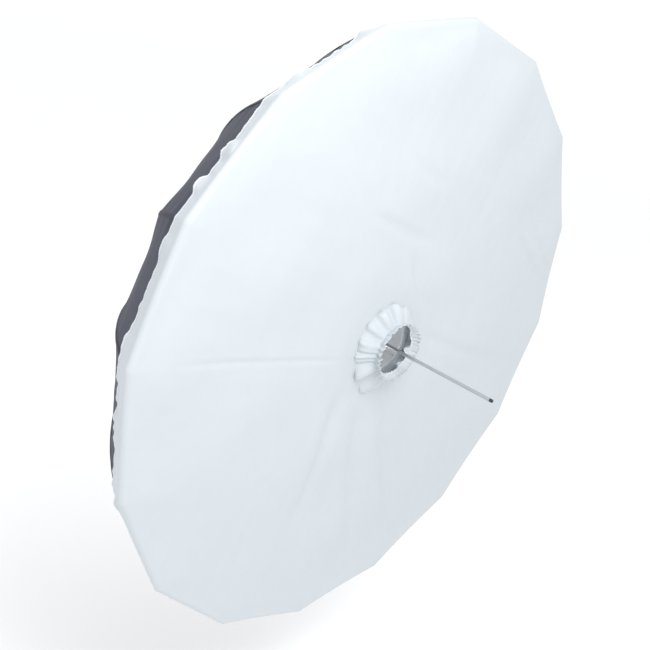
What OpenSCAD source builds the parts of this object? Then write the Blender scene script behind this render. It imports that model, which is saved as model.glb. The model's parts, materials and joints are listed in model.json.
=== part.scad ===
// Umbrella reflector: sixteen fibreglass ribs on a straight shaft, a dark canopy behind them
// and a translucent cover drawn over the front, with a gathered collar for the lamp.
// The shaft lies along +X and the open side faces +X. The origin is on the shaft's axis,
// where an umbrella holder grips it.

/* [Reflector] */
// Diameter across two opposite rib tips
rim_d = 1500; // [1440:10:1560]
// Depth from the crown to the plane of the rib tips
depth = 480; // [460:5:500]
// Distance from the rim plane forward to the grip point on the shaft
rim_to_grip = 170; // [160:5:200]

/* [Shaft] */
// Outside diameter of the shaft tube
shaft_d = 8; // [7.8:0.1:8.2]
// Wall of the shaft tube
shaft_wall = 0.9; // [0.7:0.1:1.1]
// Length of shaft in front of the grip point
shaft_front = 150; // [120:5:200]
// Length of the grip stretch behind the grip point
grip_back = 100; // [60:5:110]

/* [Ribs and stretchers] */
// Diameter of a rib rod
rod_d = 3.5; // [3.2:0.1:3.6]
// Distance along a rib from the crown to its bracket
bracket_along = 300; // [260:5:320]
// Length of a stretcher between its two pivots
stretcher_l = 340; // [335:5:380]
// Diameter of a stretcher rod
stretcher_d = 4; // [3.4:0.1:4.4]
// Radius of the wire ring that the ribs hinge on
crown_ring_r = 16; // [15.5:0.5:17]
// Radius of the wire ring that the stretchers hinge on
runner_ring_r = 15; // [14.5:0.5:16]

/* [Fabric] */
// Thickness of the canopy
canopy_t = 0.8; // [0.6:0.1:1.0]
// Thickness of the cover
cover_t = 0.7; // [0.5:0.1:0.9]
// How far the cover runs back over the canopy from the rim
skirt_l = 92; // [70:2:110]
// Radius of the hole in the middle of the cover
collar_hole_r = 66; // [60:1:70]
// How far the collar stands forward of the cover
collar_l = 58; // [40:2:70]

/* [Hidden] */
$fn = 48;
ribs = 16;
pitch = 360 / ribs;
half = pitch / 2;
rim_r = rim_d / 2;
rim_x = -rim_to_grip;
crown_x = rim_x - depth;
shaft_back = crown_x - 6;
arc_r = (rim_r * rim_r + depth * depth) / (2 * depth);
tip_a = asin(rim_r / arc_r);
shaft_r = shaft_d / 2;
rod_r = rod_d / 2;

// hinges: tabs with an eye on a wire ring, in the slots of a notched disc
wire_r = 0.75;
eye_r = 2.2;
eye_bore_r = 1.0;
tab_w = 3;
slot_w = 3.5;
slot_deep = 3.6;
disc_r = 22;
disc_half = 4.2;
groove_play = 0.2;
hinge_a = asin(crown_ring_r / arc_r);
hinge_x = arc_x(arc_r, hinge_a);

// rib fittings: sleeves on the rod with a small bond gap
bond = 0.05;
sleeve_r = rod_r + 0.65;
socket_from = 8;
rod_from = 12;
socket_to = 30;
bracket_half = 8;
lug_drop = 7;
lug_r = 3.2;
pin_r = 1.2;
tip_cap_l = 12;
ball_r = 3.2;

// stretcher: a fork straddles the rib's bracket and stays clear of its pin
fork_gap = 2.8;
tine_t = 1.2;
fork_l = 24;
bracket_a = degrees_along(bracket_along);
bracket_x = arc_x(arc_r - lug_drop, bracket_a);
bracket_r = (arc_r - lug_drop) * sin(bracket_a);
runner_x = bracket_x + sqrt(pow(stretcher_l, 2) - pow(bracket_r - runner_ring_r, 2));
stretcher_tilt = atan2(bracket_x - runner_x, bracket_r - runner_ring_r);

// canopy and cover: shells a little outside the rods
canopy_off = 3.4;
canopy_inner_r = 24;
canopy_rows = 14;
edge_gap = 0.25;
tip_free = 6;
skirt_off = canopy_off + canopy_t + 1.0;
skirt_rows = 4;
hem_l = 8;
hem_t = 3;
front_x = rim_x + 6;
front_r = rim_r + 7;
sheet_gap = 0.3;

// runner and its release button
runner_bore_r = shaft_r + 0.1;
runner_sleeve_r = 9;
runner_sleeve_l = 48;
housing_l = 26;
housing_w = 13;
housing_top = 15;
pocket_floor = 7;
button_l = 17.4;
button_w = 7.4;
button_play = 0.3;
button_bottom = 10;
button_top = 17.5;
housing_mid = 25;
spring_wire_r = 0.35;
spring_r = 2.4;
spring_turns = 3;

ribs_list = [for (k = [1:ribs]) k];
function numbered(name, k) = str(name, k < 10 ? "_0" : "_", k);

// ---- places on a rib's arc, in the plane of the first rib ----

// Angle at the arc's centre for a length along the rod.
function degrees_along(length) = length / arc_r * 180 / PI;

// X of a point at angle a on an arc of this radius about the ribs' common centre.
function arc_x(radius, a) = crown_x + arc_r - radius * cos(a);

// [x, r] of a point that stands off the rods, a length back from the tip.
function shell_point(off, back) =
    let (a = tip_a - degrees_along(back), radius = arc_r + off)
    [arc_x(radius, a), radius * sin(a)];

// Puts children on the arc: +Z runs towards the tip and +X points into the reflector.
module at_arc(radius, a) {
    translate([arc_x(radius, a), 0, radius * sin(a)]) rotate([0, a, 0]) children();
}

// Turns children to the place of rib k.
module at_rib(k) {
    rotate([pitch * (k - 1), 0, 0]) children();
}

// A curved rod or sleeve along the arc from angle a0 to angle a1.
module arc_tube(a0, a1, outer_r, bore_r = 0) {
    translate([crown_x + arc_r, 0, 0]) rotate([90, 0, 0]) rotate([0, 0, 180 - a1])
        rotate_extrude(angle = a1 - a0) translate([arc_r, 0]) difference() {
            circle(outer_r, $fn = 24);
            if (bore_r > 0) circle(bore_r, $fn = 24);
        }
}

// A cylinder along X from x0 to x1.
module rod_x(x0, x1, r) {
    translate([x0, 0, 0]) rotate([0, 90, 0]) cylinder(h = x1 - x0, r = r);
}

// A cylinder along Y, centred on the origin.
module pin_y(r, length) {
    rotate([90, 0, 0]) cylinder(h = length, r = r, center = true, $fn = 24);
}

// A solid of revolution about X from [x, r] points.
module turned_x(points) {
    rotate([0, 90, 0]) rotate_extrude() polygon([for (p = points) [p[1], p[0]]]);
}

// A closed skin from equal rings of points, each ring in the same order.
module skin(rings, closed = false) {
    n = len(rings[0]);
    m = len(rings);
    steps = closed ? m : m - 1;
    walls = [for (i = [0:steps - 1], j = [0:n - 1])
        let (a = i * n, b = ((i + 1) % m) * n, j2 = (j + 1) % n)
        each [[a + j, a + j2, b + j2], [a + j, b + j2, b + j]]];
    first_cap = [for (j = [2:n - 1]) [1, (j + 1) % n, j]];
    last_cap = [for (f = first_cap) [for (v = [2, 1, 0]) f[v] + (m - 1) * n]];
    polyhedron(points = [for (ring = rings) each ring],
        faces = closed ? walls : concat(walls, first_cap, last_cap), convexity = 6);
}

// ---- hinges ----

// Notched disc that tabs hinge in, round the shaft at x. Its slots open towards +X when side
// is 1 and towards -X when it is -1, and a groove of the same side holds the wire ring.
module notched_disc(x, ring_r, side) {
    reach = disc_half + 8;
    translate([x, 0, 0]) mirror([side < 0 ? 1 : 0, 0, 0]) difference() {
        rod_x(-disc_half, disc_half, disc_r);
        for (k = ribs_list) at_rib(k)
            translate([-eye_r - 0.4, -slot_w / 2, ring_r - slot_deep])
                cube([reach, slot_w, disc_r]);
        difference() {
            rod_x(-wire_r - groove_play, reach, ring_r + wire_r + groove_play);
            rod_x(-reach, reach * 2, ring_r - wire_r - groove_play);
        }
    }
}

// Wire ring that the eyes of the tabs turn on.
module hinge_ring(x, ring_r) {
    translate([x, 0, 0]) rotate([0, 90, 0]) rotate_extrude() translate([ring_r, 0])
        circle(wire_r, $fn = 20);
}

// Flat tab with an eye at the origin, running along +Z.
module eye_tab(length) {
    difference() {
        union() {
            pin_y(eye_r, tab_w);
            translate([-1.7, -tab_w / 2, 0]) cube([3.4, tab_w, length]);
        }
        pin_y(eye_bore_r, tab_w * 2);
    }
}

// ---- fixed parts ----

module shaft() {
    grip_x = -grip_back;
    color("silver") difference() {
        rod_x(shaft_back, shaft_front, shaft_r);
        rod_x(shaft_back - 1, shaft_front + 1, shaft_r - shaft_wall);
        // relieved neck behind the grip stretch
        translate([grip_x - 2, 0, 0]) rotate([0, 90, 0]) difference() {
            cylinder(h = 2, r = shaft_r + 1);
            cylinder(h = 6, r = shaft_r - 0.3, center = true);
        }
        // notch that the runner's latch drops into
        translate([runner_x + housing_mid - 4, -1.5, shaft_r - shaft_wall - 1]) cube([8, 3, 4]);
    }
}

module shaft_end_cap() {
    plug_r = shaft_r - shaft_wall - bond;
    head_r = shaft_r - 0.05;
    color([0.12, 0.12, 0.13]) turned_x([
        [shaft_front - 14, 0], [shaft_front - 14, plug_r - 0.5], [shaft_front - 13, plug_r],
        [shaft_front + 0.05, plug_r], [shaft_front + 0.05, head_r], [shaft_front + 6, head_r],
        for (t = [15:15:90]) [shaft_front + 6 + 3 * sin(t), head_r * cos(t)]]);
}

module crown() {
    boss_r = 9;
    boss_l = 20;
    color([0.15, 0.15, 0.16]) difference() {
        union() {
            notched_disc(hinge_x, crown_ring_r, 1);
            rod_x(hinge_x - disc_half, hinge_x + boss_l, boss_r);
        }
        rod_x(hinge_x - boss_l, hinge_x + 2 * boss_l, shaft_r + bond);
    }
}

module crown_ring() {
    color("gainsboro") hinge_ring(hinge_x, crown_ring_r);
}

module crown_cap() {
    face_x = crown_x - canopy_off - canopy_t - 0.6;
    plate_t = 1.6;
    plate_r = 34;
    bulge = 6;
    knob_r = 7;
    knob_l = 14;
    color([0.13, 0.13, 0.14]) difference() {
        union() {
            turned_x([[face_x, 0], [face_x, plate_r], [face_x - plate_t, plate_r],
                for (t = [10:10:90]) [face_x - plate_t - bulge * sin(t), plate_r * cos(t)]]);
            rod_x(face_x - knob_l, face_x - plate_t, knob_r);
            translate([face_x - knob_l, 0, 0]) sphere(r = knob_r);
        }
        rod_x(shaft_back - 0.5, crown_x + 1, shaft_r + bond);
    }
}

// ---- runner ----

module runner() {
    sleeve_to = runner_x + runner_sleeve_l;
    color([0.16, 0.16, 0.17]) difference() {
        union() {
            notched_disc(runner_x, runner_ring_r, -1);
            rod_x(runner_x - disc_half, sleeve_to, runner_sleeve_r);
            for (x = [runner_x + 42, runner_x + 46])
                translate([x, 0, 0]) rotate([0, 90, 0]) rotate_extrude()
                    translate([runner_sleeve_r, 0]) circle(1.6, $fn = 24);
            translate([runner_x + housing_mid - housing_l / 2, -housing_w / 2, 0])
                cube([housing_l, housing_w, housing_top]);
        }
        rod_x(runner_x - 20, sleeve_to + 10, runner_bore_r);
        translate([runner_x + housing_mid - button_l / 2 - button_play,
                   -button_w / 2 - button_play, pocket_floor])
            cube([button_l + 2 * button_play, button_w + 2 * button_play, 20]);
    }
}

module runner_ring() {
    color("gainsboro") hinge_ring(runner_x, runner_ring_r);
}

module release_button() {
    body_h = button_top - button_bottom - 1.2;
    color([0.55, 0.56, 0.58]) translate([runner_x + housing_mid, 0, button_bottom]) {
        translate([-button_l / 2, -button_w / 2, 0]) cube([button_l, button_w, body_h]);
        translate([-button_l / 2 + 1, -button_w / 2 + 1, body_h])
            cube([button_l - 2, button_w - 2, 1.2]);
    }
}

// Small coil spring between the pocket's floor and the button.
module button_spring() {
    low = pocket_floor + spring_wire_r + 0.05;
    high = button_bottom - spring_wire_r - 0.05;
    steps = 14 * spring_turns;
    sides = 6;
    color("lightgrey") translate([runner_x + housing_mid, 0, 0]) skin([for (i = [0:steps])
        let (t = 360 * spring_turns * i / steps, z = low + (high - low) * i / steps)
        [for (s = [0:sides - 1])
            let (u = 360 * s / sides, r = spring_r + spring_wire_r * cos(u))
            [r * cos(t), r * sin(t), z + spring_wire_r * sin(u)]]]);
}

// ---- rib and stretcher ----

module rib(k) {
    color([0.88, 0.88, 0.85]) at_rib(k) {
        arc_tube(hinge_a + degrees_along(rod_from), tip_a - degrees_along(0.5), rod_r);
        rib_root();
        rib_bracket();
        rib_tip();
    }
}

// Metal root: a tab on the crown's ring and a socket for the rod.
module rib_root() {
    at_arc(arc_r, hinge_a) eye_tab(rod_from - 1);
    arc_tube(hinge_a + degrees_along(socket_from), hinge_a + degrees_along(socket_to),
        sleeve_r, rod_r + bond);
}

// Bracket: a sleeve on the rod, a lug on its inner side and a short pin through the lug.
module rib_bracket() {
    span = degrees_along(bracket_half);
    arc_tube(bracket_a - span, bracket_a + span, sleeve_r, rod_r + bond);
    at_arc(arc_r - lug_drop, bracket_a) {
        pin_y(lug_r, tab_w);
        pin_y(pin_r, tab_w + 1.6);
        mirror([1, 0, 0]) translate([0, -tab_w / 2, -lug_r])
            cube([lug_drop - rod_r - bond - 0.15, tab_w, 2 * lug_r]);
    }
}

// Tip: a cap on the rod's end with a ball that the hem hangs on.
module rib_tip() {
    difference() {
        union() {
            arc_tube(tip_a - degrees_along(tip_cap_l), tip_a, sleeve_r);
            at_arc(arc_r, tip_a) sphere(r = ball_r, $fn = 32);
        }
        arc_tube(tip_a - degrees_along(tip_cap_l + 5), tip_a - degrees_along(0.4), rod_r + bond);
    }
}

module stretcher(k) {
    fork_from = stretcher_l - fork_l;
    color([0.72, 0.73, 0.75]) at_rib(k) translate([runner_x, 0, runner_ring_r])
        rotate([0, stretcher_tilt, 0]) {
            eye_tab(14);
            translate([0, 0, 12]) cylinder(h = fork_from - 14, d = stretcher_d, $fn = 24);
            difference() {
                union() {
                    translate([-2.8, -fork_gap - tine_t, fork_from - 5])
                        cube([5.6, 2 * (fork_gap + tine_t), fork_l + 5]);
                    translate([0, 0, stretcher_l]) pin_y(2.8, 2 * (fork_gap + tine_t));
                }
                translate([-5, -fork_gap, fork_from]) cube([10, 2 * fork_gap, fork_l + 10]);
                translate([0, 0, stretcher_l]) pin_y(pin_r + 0.3, 20);
            }
        }
}

// ---- fabric ----

// Point of the shell at [x, r], a whole number of half pitches from the rib. Between two ribs
// the fabric is drawn straight, so its middle lies on the chord.
function gore_point(p, side) =
    side == 0 ? [p[0], 0, p[1]]
    : [p[0], side * (p[1] * cos(half) * sin(half) - edge_gap), p[1] * pow(cos(half), 2)];

// One gore of the canopy, from half way to the last rib to half way to the next one.
module canopy(k) {
    inner_back = arc_r * tip_a * PI / 180 - arc_r * asin(canopy_inner_r / arc_r) * PI / 180;
    color([0.22, 0.24, 0.28]) at_rib(k) skin([for (i = [0:canopy_rows])
        let (back = inner_back + (tip_free - inner_back) * i / canopy_rows,
             outer = shell_point(canopy_off + canopy_t, back),
             inner = shell_point(canopy_off, back))
        [for (side = [-1, 0, 1]) gore_point(outer, side),
         for (side = [1, 0, -1]) gore_point(inner, side)]]);
}

module cover_front() {
    outline = [for (k = [0:ribs - 1]) front_r * [cos(pitch * k), sin(pitch * k)]];
    color([0.93, 0.94, 0.97, 0.9]) translate([front_x, 0, 0]) rotate([0, 90, 0])
        linear_extrude(cover_t) difference() {
            polygon(outline);
            circle(collar_hole_r);
        }
}

// The band of the cover that wraps the rim, with the elastic hem at its back edge.
module cover_side() {
    backs = [for (i = [0:skirt_rows]) (skirt_l - hem_l) * i / skirt_rows];
    inner = concat([[front_x - sheet_gap, rim_r + 5.6]],
        [for (b = backs) shell_point(skirt_off, b)], [shell_point(skirt_off, skirt_l)]);
    outer = concat([[front_x - sheet_gap, rim_r + 5.6 + cover_t]],
        [for (b = backs) shell_point(skirt_off + cover_t, b)],
        [shell_point(skirt_off + hem_t, skirt_l - hem_l + 0.5),
         shell_point(skirt_off + hem_t, skirt_l)]);
    section = concat(inner, [for (i = [len(outer) - 1:-1:0]) outer[i]]);
    color([0.86, 0.86, 0.92]) skin([for (k = [0:ribs - 1])
        [for (p = section) [p[0], -p[1] * sin(pitch * k), p[1] * cos(pitch * k)]]],
        closed = true);
}

// Gathered collar round the hole in the cover, drawn in by its elastic.
module cover_collar() {
    base_x = front_x + cover_t + sheet_gap;
    wall = 3;
    foot_r = collar_hole_r + 29;
    throat_r = collar_hole_r - 4;
    throat_x = base_x + collar_l * 0.72;
    mouth_x = base_x + collar_l;
    outer = [[base_x, foot_r], [base_x + collar_l * 0.2, foot_r - 3],
             [base_x + collar_l * 0.45, foot_r - 13], [throat_x - 5, throat_r + 3],
             [throat_x, throat_r], [throat_x + 5, throat_r + 2], [mouth_x, throat_r + 9]];
    color([0.95, 0.95, 0.97]) turned_x(concat(outer,
        [for (i = [len(outer) - 1:-1:0]) [outer[i][0], outer[i][1] - wall]]));
}

// ---- what is drawn ----

shaft();
shaft_end_cap();
crown();
crown_ring();
crown_cap();
runner();
runner_ring();
release_button();
button_spring();
cover_front();
cover_side();
cover_collar();
for (k = ribs_list) {
    rib(k);
    stretcher(k);
    canopy(k);
}
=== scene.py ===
"""Looks of the umbrella reflector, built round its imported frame.

The frame gives the shaft, crown, runner, ribs and stretchers. This script dresses them and
sews the cloth: a dark canopy in sixteen gores with seams along the ribs, and a pale cover with
a flat front, a band that wraps the rim to an elastic hem, and a gathered collar for the lamp.
All sizes are in metres, +X runs out of the open side along the shaft and +Z is up.
"""

import json
import logging
import math
from dataclasses import dataclass
from enum import Enum
from typing import Any, Dict, List, Optional, Sequence, Tuple, Union

import bpy
import numpy as np
from mathutils import Matrix, Vector

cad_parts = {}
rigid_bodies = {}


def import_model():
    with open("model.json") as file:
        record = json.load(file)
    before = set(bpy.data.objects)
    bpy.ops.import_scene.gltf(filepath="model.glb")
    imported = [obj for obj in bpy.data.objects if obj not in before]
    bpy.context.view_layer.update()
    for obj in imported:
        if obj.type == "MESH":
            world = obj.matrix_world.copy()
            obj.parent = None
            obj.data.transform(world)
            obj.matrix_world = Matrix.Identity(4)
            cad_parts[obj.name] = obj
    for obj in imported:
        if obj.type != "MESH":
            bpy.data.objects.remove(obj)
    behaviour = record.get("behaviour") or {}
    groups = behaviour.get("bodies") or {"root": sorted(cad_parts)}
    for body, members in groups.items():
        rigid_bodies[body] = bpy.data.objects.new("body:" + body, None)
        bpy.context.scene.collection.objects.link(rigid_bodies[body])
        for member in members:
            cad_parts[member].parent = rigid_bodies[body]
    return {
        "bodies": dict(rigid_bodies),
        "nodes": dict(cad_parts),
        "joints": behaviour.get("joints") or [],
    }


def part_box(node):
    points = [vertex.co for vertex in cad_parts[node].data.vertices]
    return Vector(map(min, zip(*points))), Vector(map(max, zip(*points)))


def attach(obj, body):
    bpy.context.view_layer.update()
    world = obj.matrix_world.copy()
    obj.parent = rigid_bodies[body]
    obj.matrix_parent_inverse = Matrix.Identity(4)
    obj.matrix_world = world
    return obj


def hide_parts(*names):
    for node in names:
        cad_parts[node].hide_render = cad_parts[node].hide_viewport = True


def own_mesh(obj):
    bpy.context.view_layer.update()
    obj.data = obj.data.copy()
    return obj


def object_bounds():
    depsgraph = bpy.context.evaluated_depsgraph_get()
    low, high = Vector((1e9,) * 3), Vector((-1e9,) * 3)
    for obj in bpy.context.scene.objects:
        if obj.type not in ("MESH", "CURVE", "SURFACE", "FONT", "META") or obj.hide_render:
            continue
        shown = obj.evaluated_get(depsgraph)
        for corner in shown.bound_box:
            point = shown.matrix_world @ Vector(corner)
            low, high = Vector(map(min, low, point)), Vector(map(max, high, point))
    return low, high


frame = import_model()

FRAME_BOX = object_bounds()
LOG = logging.getLogger("umbrella")
MM = 0.001
TAU = 2 * math.pi
TIP_BALL_R = 3.2 * MM
Array = np.ndarray


# ---------------------------------------------------------------- sizes taken from the frame


@dataclass(frozen=True)
class RibArc:
    """The circle that every rib follows, in a plane through the shaft.

    Attributes:
        centre_x: Where the circle's centre lies on the shaft's axis.
        radius: The circle's radius, to the middle of a rib's rod.
        tip_angle: Angle at the centre from the crown to a rib's tip.
        hinge_x: Place of the rib hinges along the shaft.
        hinge_r: Distance of the rib hinges from the axis.
        rim_x: Place of the rib tips along the shaft.
        rim_r: Distance of the rib tips from the axis.
        count: Number of ribs.
        fold: Angle that a rib turns through as the reflector closes.
    """

    centre_x: float
    radius: float
    tip_angle: float
    hinge_x: float
    hinge_r: float
    rim_x: float
    rim_r: float
    count: int
    fold: float

    @classmethod
    def from_frame(cls) -> "RibArc":
        """Reads the arc from the first rib's box and hinge."""
        joints = {j["name"]: j for j in frame["joints"]}
        hinge = joints["rib_hinge_01"]["pos_m"]
        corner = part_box("rib_01")[1]
        rim_x, rim_r = corner.x - TIP_BALL_R, corner.z - TIP_BALL_R
        hx, hr = hinge[0], math.hypot(hinge[1], hinge[2])
        centre = (rim_x**2 - hx**2 + rim_r**2 - hr**2) / (2 * (rim_x - hx))
        radius = math.hypot(rim_x - centre, rim_r)
        return cls(
            centre_x=centre,
            radius=radius,
            tip_angle=math.atan2(rim_r, centre - rim_x),
            hinge_x=hx,
            hinge_r=hr,
            rim_x=rim_x,
            rim_r=rim_r,
            count=sum(1 for b in frame["bodies"] if b.startswith("rib_")),
            fold=math.radians(joints["rib_hinge_01"]["range_deg"][1]),
        )

    @property
    def pitch(self) -> float:
        """Angle between two ribs about the shaft."""
        return TAU / self.count

    def on_shell(self, off: Array, back: Array) -> Tuple[Array, Array]:
        """Point of a shell round the ribs, in the plane of a rib.

        Args:
            off: How far the shell stands outside the rods' middle line.
            back: Length along the arc back from the tip.

        Returns:
            Its place along the shaft and its distance from the shaft's axis.
        """
        angle = self.tip_angle - back / self.radius
        reach = self.radius + off
        return self.centre_x - reach * np.cos(angle), reach * np.sin(angle)

    def folded_share(self, back: float) -> float:
        """Share of its open distance from the axis that a point of a rib keeps when folded.

        Args:
            back: Length along the arc from the tip back to the point.

        Returns:
            The share, from 0 to 1.
        """
        x, r = self.on_shell(np.array(0.0), np.array(back))
        along, out = float(x) - self.hinge_x, float(r) - self.hinge_r
        folded = self.hinge_r - along * math.sin(self.fold) + out * math.cos(self.fold)
        return folded / float(r)


ARC = RibArc.from_frame()


def rib_name(stem: str, k: int) -> str:
    """Name of the k-th of a set that goes with the ribs, such as rib_03."""
    return f"{stem}_{k:02d}"


# ---------------------------------------------------------------- shader and node helpers

Number = Union[int, float, "Value"]


class Value:
    """A number that a shader works out. Arithmetic on it adds Math nodes."""

    def __init__(self, shader: "Shader", socket: Any) -> None:
        """Wraps a socket of a shader's node."""
        self.shader = shader
        self.socket = socket

    def math(self, operation: str, *values: Number) -> "Value":
        """Adds a Math node for this operation on these values."""
        return self.shader.node("ShaderNodeMath", {"operation": operation}, *values)

    def __add__(self, other: Number) -> "Value":
        """Sum."""
        return self.math("ADD", self, other)

    def __radd__(self, other: Number) -> "Value":
        """Sum."""
        return self.math("ADD", other, self)

    def __sub__(self, other: Number) -> "Value":
        """Difference."""
        return self.math("SUBTRACT", self, other)

    def __rsub__(self, other: Number) -> "Value":
        """Difference, the other way round."""
        return self.math("SUBTRACT", other, self)

    def __mul__(self, other: Number) -> "Value":
        """Product."""
        return self.math("MULTIPLY", self, other)

    def __rmul__(self, other: Number) -> "Value":
        """Product."""
        return self.math("MULTIPLY", other, self)

    def __abs__(self) -> "Value":
        """Size without its sign."""
        return self.math("ABSOLUTE", self)

    def __pow__(self, other: Number) -> "Value":
        """Power."""
        return self.math("POWER", self, other)

    def sine(self) -> "Value":
        """Sine of an angle in radians."""
        return self.math("SINE", self)

    def below(self, other: Number) -> "Value":
        """1 where this is less than the other, or else 0."""
        return self.math("LESS_THAN", self, other)

    def clamped(self) -> "Value":
        """Kept from 0 to 1."""
        return self.math("MAXIMUM", self.math("MINIMUM", self, 1.0), 0.0)


class Shader:
    """One material's node tree, with one method that adds any node."""

    def __init__(self, name: str) -> None:
        """Makes an empty material of this name."""
        self.material = bpy.data.materials.new(name)
        self.material.use_nodes = True
        self.tree = self.material.node_tree
        self.tree.nodes.clear()

    def node(
        self, kind: str, settings: Optional[Dict[str, Any]] = None, *values: Any, **named: Any
    ) -> Value:
        """Adds a node.

        Args:
            kind: The node's type.
            settings: Its properties, set first. A ramp's stops are given as "stops".
            values: Values or sockets for its inputs, in order. None leaves one as it is.
            named: The same by input name, with _ for a space.

        Returns:
            Its first output, or nothing if it has none.
        """
        made = self.tree.nodes.new(kind)
        for key, setting in (settings or {}).items():
            if key == "stops":
                self._set_stops(made.color_ramp, setting)
            else:
                setattr(made, key, setting)
        for index, value in enumerate(values):
            if value is not None:
                self._feed(made.inputs[index], value)
        for key, value in named.items():
            self._feed(made.inputs[key.replace("_", " ")], value)
        return Value(self, made.outputs[0] if made.outputs else None)

    @staticmethod
    def _set_stops(ramp: Any, stops: Sequence[Tuple[float, Tuple[float, ...]]]) -> None:
        """Gives a colour ramp its stops.

        Args:
            ramp: The ramp.
            stops: Place and colour of each stop.
        """
        while len(ramp.elements) < len(stops):
            ramp.elements.new(1.0)
        for element, (place, colour) in zip(ramp.elements, stops):
            element.position = place
            element.color = colour

    def _feed(self, socket: Any, value: Any) -> None:
        """Links a value to an input, or sets it."""
        if isinstance(value, Value):
            self.tree.links.new(value.socket, socket)
        else:
            socket.default_value = value

    def output(self, value: Value, name: str) -> Value:
        """Another output of the node that a value came from."""
        return Value(self, value.socket.node.outputs[name])

    def place(self) -> Value:
        """The point's place in the frame."""
        return self.output(self.node("ShaderNodeTexCoord"), "Object")

    def weave_place(self) -> Value:
        """The point's place on the cloth, in metres, from its own UV map."""
        return self.output(self.node("ShaderNodeTexCoord"), "UV")

    def parts(self, vector: Value) -> Tuple[Value, Value, Value]:
        """The X, Y and Z of a vector."""
        split = self.node("ShaderNodeSeparateXYZ", None, vector)
        return tuple(self.output(split, axis) for axis in "XYZ")

    def stretched(self, vector: Value, scale: Tuple[float, float, float]) -> Value:
        """A place scaled along each axis."""
        return self.node("ShaderNodeMapping", {"vector_type": "POINT"}, vector, None, None, scale)

    def noise(self, vector: Value, scale: float, detail: float = 3.0, rough: float = 0.5) -> Value:
        """Soft noise from 0 to 1."""
        return self.node("ShaderNodeTexNoise", None, vector, None, scale, detail, rough)

    def shades(self, value: Value, dark: Sequence[float], light: Sequence[float]) -> Value:
        """A colour between two, by a value from 0 to 1."""
        stops = [(0.0, (*dark, 1.0)), (1.0, (*light, 1.0))]
        return self.node("ShaderNodeValToRGB", {"stops": stops}, value)

    def mixed(self, share: Value, first: Value, second: Value) -> Value:
        """A colour between two others, by a share from 0 to 1."""
        skipped = [None] * 5
        mix = self.node("ShaderNodeMix", {"data_type": "RGBA"}, share, *skipped, first, second)
        return Value(self, mix.socket.node.outputs[2])

    def bump(
        self, height: Value, strength: float, distance: float, under: Optional[Value] = None
    ) -> Value:
        """A surface normal from a height, on top of another normal if there is one.

        Args:
            height: The height, from 0 to 1.
            strength: Share of the bump that shows.
            distance: Height in metres that 1 stands for.
            under: A normal to start from.

        Returns:
            The new normal.
        """
        named = {"Strength": strength, "Distance": distance, "Height": height}
        if under is not None:
            named["Normal"] = under
        return self.node("ShaderNodeBump", None, **named)

    def finish(self, **inputs: Any) -> bpy.types.Material:
        """Ends the material in a Principled shader with these inputs."""
        surface = self.node("ShaderNodeBsdfPrincipled", None, **inputs)
        self.node("ShaderNodeOutputMaterial", None, surface)
        return self.material


class Finish:
    """A surface finish. Its material is made once, when it is first asked for."""

    _made: Dict[Any, bpy.types.Material] = {}

    def material(self) -> bpy.types.Material:
        """The finish's material."""
        if self not in Finish._made:
            Finish._made[self] = self.build()
        return Finish._made[self]

    def build(self) -> bpy.types.Material:
        """Builds the material."""
        raise NotImplementedError


@dataclass(frozen=True)
class Cloth(Finish):
    """Woven cloth, seen from its threads up to its soft creases.

    Attributes:
        name: The material's name.
        dark: Colour where the threads and slubs sit low or the random tone is low; in the weave's
            hollows it is painted shade.
        light: Colour where the threads and slubs stand high or the random tone is high.
        thread: Distance between two threads.
        weave: How strongly the threads stand out.
        crease: Height of the small creases.
        rough: Roughness in the middle of its range.
        sheen: Weight of the soft sheen at grazing angles.
        shine: Level of the mirror-like part of its reflection.
    """

    name: str
    dark: Tuple[float, float, float]
    light: Tuple[float, float, float]
    thread: float = 0.9 * MM
    weave: float = 0.25
    crease: float = 0.5 * MM
    rough: float = 0.6
    sheen: float = 0.1
    shine: float = 0.3

    def build(self) -> bpy.types.Material:
        """Builds the weave, the slubs and the small creases."""
        s = Shader(self.name)
        uv = s.weave_place()
        u, v, _ = s.parts(uv)
        turn = TAU / self.thread
        warp = (u * turn).sine()
        weft = (v * turn).sine()
        threads = (warp * weft) * 0.5 + 0.5
        slub = s.noise(s.stretched(uv, (1.0, 14.0, 1.0)), 60.0, 3.0)
        tone = s.noise(uv, 9.0, 4.0, 0.6)
        folds = s.noise(s.stretched(uv, (0.45, 1.0, 1.0)), 38.0, 3.0, 0.55)
        # Colour follows the height of the weave and slubs, painted shade in their hollows, plus
        # random tone.
        mix = (threads * 0.2 + slub * 0.3 + tone * 0.5).clamped()
        normal = s.bump(folds, 0.6, self.crease)
        normal = s.bump(threads * 0.7 + slub * 0.3, self.weave, 0.08 * MM, normal)
        return s.finish(
            Base_Color=s.shades(mix, self.dark, self.light),
            Roughness=(tone * 0.16 + (self.rough - 0.08)),
            Normal=normal,
            Sheen_Weight=self.sheen,
            Sheen_Roughness=0.5,
            Specular_IOR_Level=self.shine,
        )


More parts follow.
